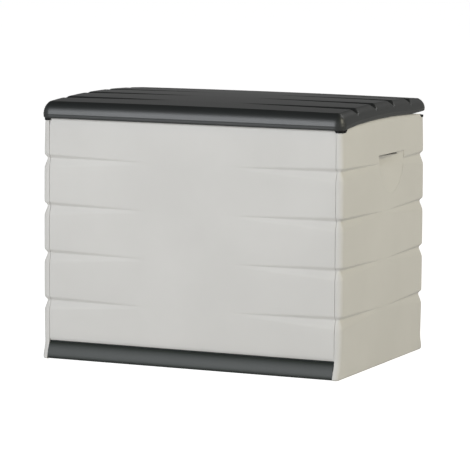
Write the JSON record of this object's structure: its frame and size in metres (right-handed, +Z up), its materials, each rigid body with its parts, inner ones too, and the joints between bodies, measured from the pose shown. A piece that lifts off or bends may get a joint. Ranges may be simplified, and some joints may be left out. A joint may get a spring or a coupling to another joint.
{
  "type": "deck storage box",
  "caption": "Rectangular garden storage box with grooved light plastic walls, dark plinth, corner caps and an arched dark lid hinged at the rear; moulded hand pockets in both sides.",
  "frame": {"origin": "on the ground in the middle of the base, under the centre of the box's footprint", "axes": "+X along the width to the box's right, +Y from front to rear (front at -Y, lid hinge at +Y), +Z up"},
  "size_m": [0.792, 0.56, 0.639],
  "materials": {
    "light_plastic": "moulded, fine grain, satin",
    "dark_plastic": "moulded, satin",
    "lid_plastic": "moulded, fine grain, satin sheen",
    "cap_plastic": "moulded, satin",
    "steel": "zinc plated"
  },
  "bodies": {
    "box": {"floor_tray": "dark_plastic", "front_panel": "light_plastic", "rear_panel": "light_plastic", "left_side_panel": "light_plastic", "right_side_panel": "light_plastic", "front_left_corner_cap": "cap_plastic", "front_right_corner_cap": "cap_plastic", "rear_left_hinge_cap": "cap_plastic", "rear_right_hinge_cap": "cap_plastic", "cap_screws": "steel", "panel_screws": "steel", "floor_screws": "steel"},
    "lid": {"lid_shell": "lid_plastic", "left_hinge_pin": "steel", "right_hinge_pin": "steel", "hinge_pin_clips": "steel"}
  },
  "joints": [
    {"name": "lid_hinge", "type": "hinge", "parent": "box", "child": "lid", "pos_m": [0, 0.263, 0.606], "axis": [-1, 0, 0], "range_deg": [0, 105]}
  ]
}
